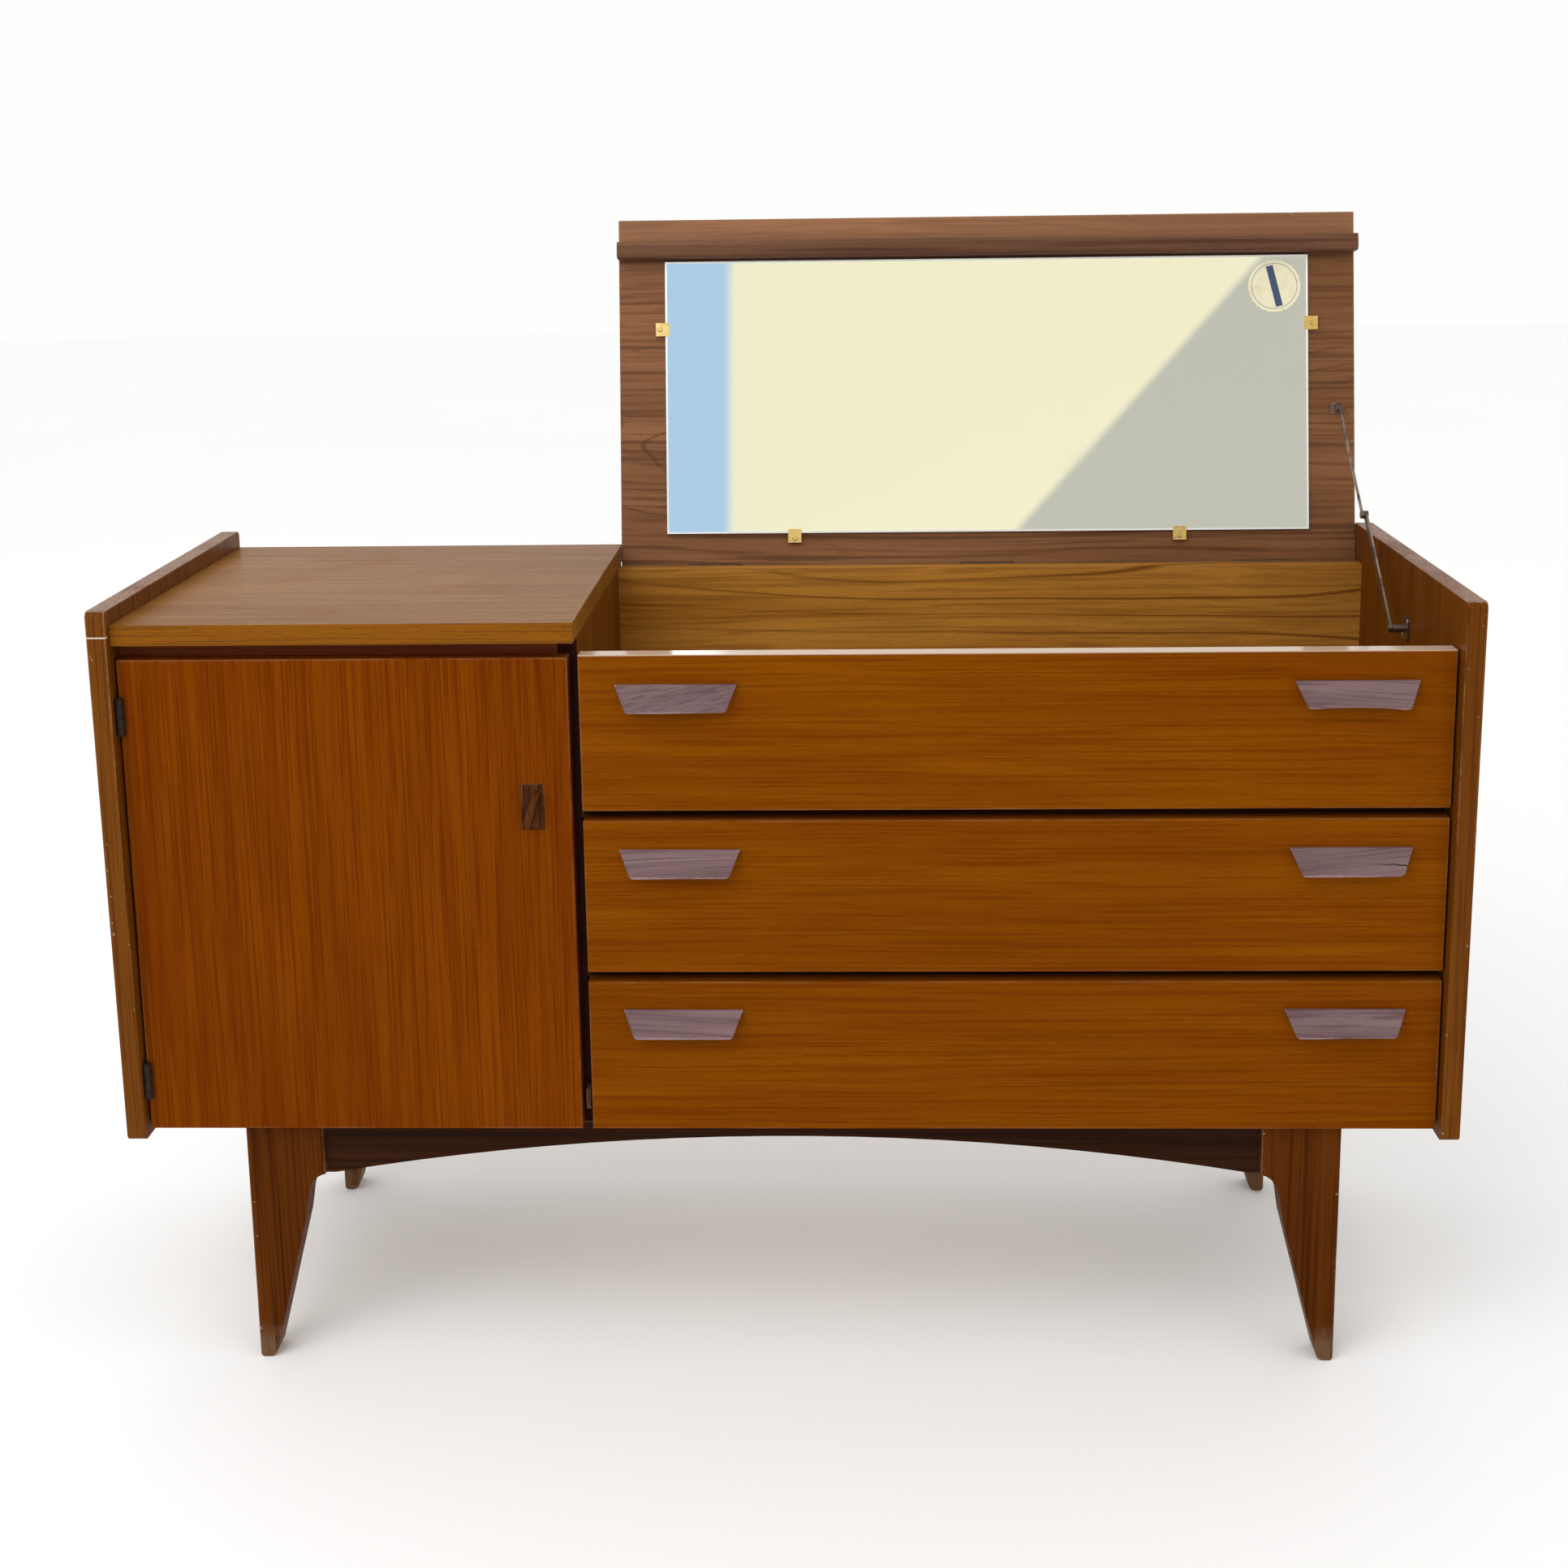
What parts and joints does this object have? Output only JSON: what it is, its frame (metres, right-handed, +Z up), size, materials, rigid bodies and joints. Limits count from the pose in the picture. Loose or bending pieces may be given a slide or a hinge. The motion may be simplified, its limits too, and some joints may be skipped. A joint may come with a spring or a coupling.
{
  "type": "vanity table with mirror",
  "caption": "Low dressing chest on tapered legs: a cupboard beside drawers, with a lift-up lid that carries a mirror over a storage well.",
  "frame": {"origin": "on the floor, in the middle of the ground covered with the lid open", "axes": "+X to the right of someone facing the front, +Y to the back, +Z up"},
  "size_m": [1.4, 0.5261, 1.2148],
  "materials": {
    "teak_case": "satin lacquered teak veneer",
    "teak_top": "worn satin teak veneer",
    "teak_door": "satin lacquered teak veneer, upright grain",
    "teak_front": "satin lacquered teak veneer, level grain",
    "teak_lid": "dark satin teak veneer",
    "teak_leg": "oiled solid teak",
    "well_wood": "satin veneer with a bold figure",
    "pull_wood": "dull purplish hardwood",
    "latch_wood": "dark hardwood",
    "box_wood": "unfinished pale hardwood",
    "plywood": "unfinished plywood",
    "mirror": "silvered glass, polished edges",
    "brass": "bright stamped brass",
    "dark_steel": "blackened",
    "steel": "dull zinc"
  },
  "bodies": {
    "case": {"back_apron": "teak_leg", "bottom_board": "plywood", "cupboard_back": "plywood", "cupboard_shelf": "plywood", "divider_panel": "teak_case", "door_head_rail": "teak_case", "door_hinge_case_leaves": "dark_steel", "door_hinge_pins": "dark_steel", "drawer_bay_back": "plywood", "drawer_rails": "box_wood", "drawer_runners": "box_wood", "frame_screws": "steel", "front_apron": "teak_leg", "glue_blocks": "box_wood", "latch_keeper": "steel", "left_back_leg": "teak_leg", "left_front_leg": "teak_leg", "left_side_panel": "teak_case", "leg_side_rails": "teak_leg", "lid_hinge_case_leaves": "steel", "lid_hinge_pins": "steel", "lid_rest_cleat": "box_wood", "right_back_leg": "teak_leg", "right_front_leg": "teak_leg", "right_side_panel": "teak_case", "shelf_pins": "steel", "stay_case_bracket": "dark_steel", "top_board": "teak_top", "well_back_rail": "well_wood", "well_floor": "plywood", "well_front": "teak_front", "well_pull_screws": "steel", "well_pulls": "pull_wood"},
    "door": {"door_panel": "teak_door", "door_hinge_door_leaves": "dark_steel", "latch_plate": "latch_wood"},
    "latch": {"latch_lever": "latch_wood", "latch_spindle": "steel", "latch_tongue": "steel"},
    "middle_drawer": {"middle_drawer_back": "box_wood", "middle_drawer_bottom": "plywood", "middle_drawer_front": "teak_front", "middle_drawer_pulls": "pull_wood", "middle_drawer_sides": "box_wood", "middle_pull_screws": "steel"},
    "lower_drawer": {"lower_drawer_back": "box_wood", "lower_drawer_bottom": "plywood", "lower_drawer_front": "teak_front", "lower_drawer_pulls": "pull_wood", "lower_drawer_sides": "box_wood", "lower_pull_screws": "steel"},
    "lid": {"lid_panel": "teak_lid", "lid_batten": "teak_lid", "mirror_glass": "mirror", "mirror_clips": "brass", "clip_screws": "brass", "lid_hinge_lid_leaves": "steel", "stay_lid_bracket": "dark_steel"},
    "arm": {"stay_arm": "dark_steel"},
    "rod": {"stay_rod": "dark_steel"}
  },
  "joints": [
    {"name": "lid_hinge", "type": "hinge", "parent": "case", "child": "lid", "pos_m": [0.2355, 0.16789, 0.8005], "axis": [1, 0, 0], "range_deg": [0, 99.65]},
    {"name": "stay_arm_hinge", "type": "hinge", "parent": "case", "child": "arm", "pos_m": [0.6615, -0.05111, 0.768], "axis": [1, 0, 0], "range_deg": [-90.22, 0]},
    {"name": "stay_rod_hinge", "type": "hinge", "parent": "lid", "child": "rod", "pos_m": [0.659, 0.19447, 0.98364], "axis": [1, 0, 0], "range_deg": [-25.28, 0]},
    {"name": "door_hinge", "type": "hinge", "parent": "case", "child": "door", "pos_m": [-0.6756, -0.25151, 0.53195], "axis": [0, 0, -1], "range_deg": [0, 95]},
    {"name": "latch_turn", "type": "hinge", "parent": "door", "child": "latch", "pos_m": [-0.2565, -0.24751, 0.631], "axis": [0, 1, 0], "range_deg": [0, 71]},
    {"name": "middle_drawer_slide", "type": "slide", "parent": "case", "child": "middle_drawer", "axis": [0, -1, 0], "range_m": [0, 0.3]},
    {"name": "lower_drawer_slide", "type": "slide", "parent": "case", "child": "lower_drawer", "axis": [0, -1, 0], "range_m": [0, 0.3]}
  ],
  "couplings": [
    {"joint": "stay_arm_hinge", "follows": "lid_hinge", "ratio": -0.90334},
    {"joint": "stay_rod_hinge", "follows": "lid_hinge", "ratio": -0.25164}
  ]
}
